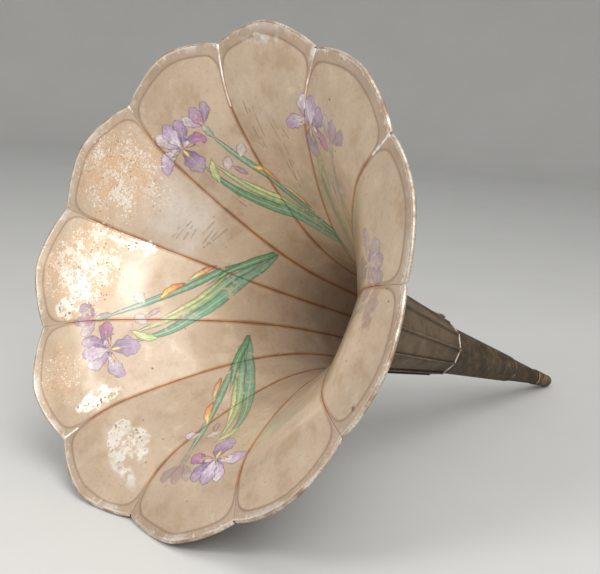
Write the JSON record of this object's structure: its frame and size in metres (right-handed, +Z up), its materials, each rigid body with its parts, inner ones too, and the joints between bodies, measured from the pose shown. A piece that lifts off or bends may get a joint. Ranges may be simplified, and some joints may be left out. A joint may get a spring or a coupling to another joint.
{
  "type": "phonograph horn",
  "caption": "Painted sheet-steel flower-shaped acoustic horn with flat flared petals, rolled rims, folded seams, a tapered round throat and a loose hanging ring.",
  "frame": {"origin": "middle of the plan of the bounding box, at the surface the horn lies on", "axes": "+X from the mouth towards the tip, +Z up; the horn's own axis falls about 18 degrees towards the tip"},
  "size_m": [0.809, 0.5162, 0.4901],
  "materials": {
    "gore_paint": "aged tan paint with brown seam stripes and transfers of irises, scuffed at the rims",
    "rim_wire": "dull oxidised wire",
    "collar_paint": "paint worn to bright metal on the bead",
    "throat_paint": "mottled dark brown paint, dull",
    "sleeve_paint": "brown paint worn at the edges",
    "fitting_metal": "tarnished tinplate with traces of paint",
    "ring_wire": "rubbed steel wire"
  },
  "bodies": {
    "horn": {"petal_01": "gore_paint", "petal_02": "gore_paint", "petal_03": "gore_paint", "petal_04": "gore_paint", "petal_05": "gore_paint", "petal_06": "gore_paint", "petal_07": "gore_paint", "petal_08": "gore_paint", "petal_09": "gore_paint", "petal_10": "gore_paint", "petal_11": "gore_paint", "rim_wire_01": "rim_wire", "rim_wire_02": "rim_wire", "rim_wire_03": "rim_wire", "rim_wire_04": "rim_wire", "rim_wire_05": "rim_wire", "rim_wire_06": "rim_wire", "rim_wire_07": "rim_wire", "rim_wire_08": "rim_wire", "rim_wire_09": "rim_wire", "rim_wire_10": "rim_wire", "rim_wire_11": "rim_wire", "collar_bead": "collar_paint", "throat_cone": "throat_paint", "lower_cone": "throat_paint", "tip_sleeve": "sleeve_paint", "ring_eye": "fitting_metal"},
    "ring": {"hanging_ring": "ring_wire"}
  },
  "joints": [
    {"name": "ring_swing", "type": "hinge", "parent": "horn", "child": "ring", "pos_m": [0.10416, 0, 0.1457], "axis": [0, 1, 0], "range_deg": [0, 165]}
  ]
}
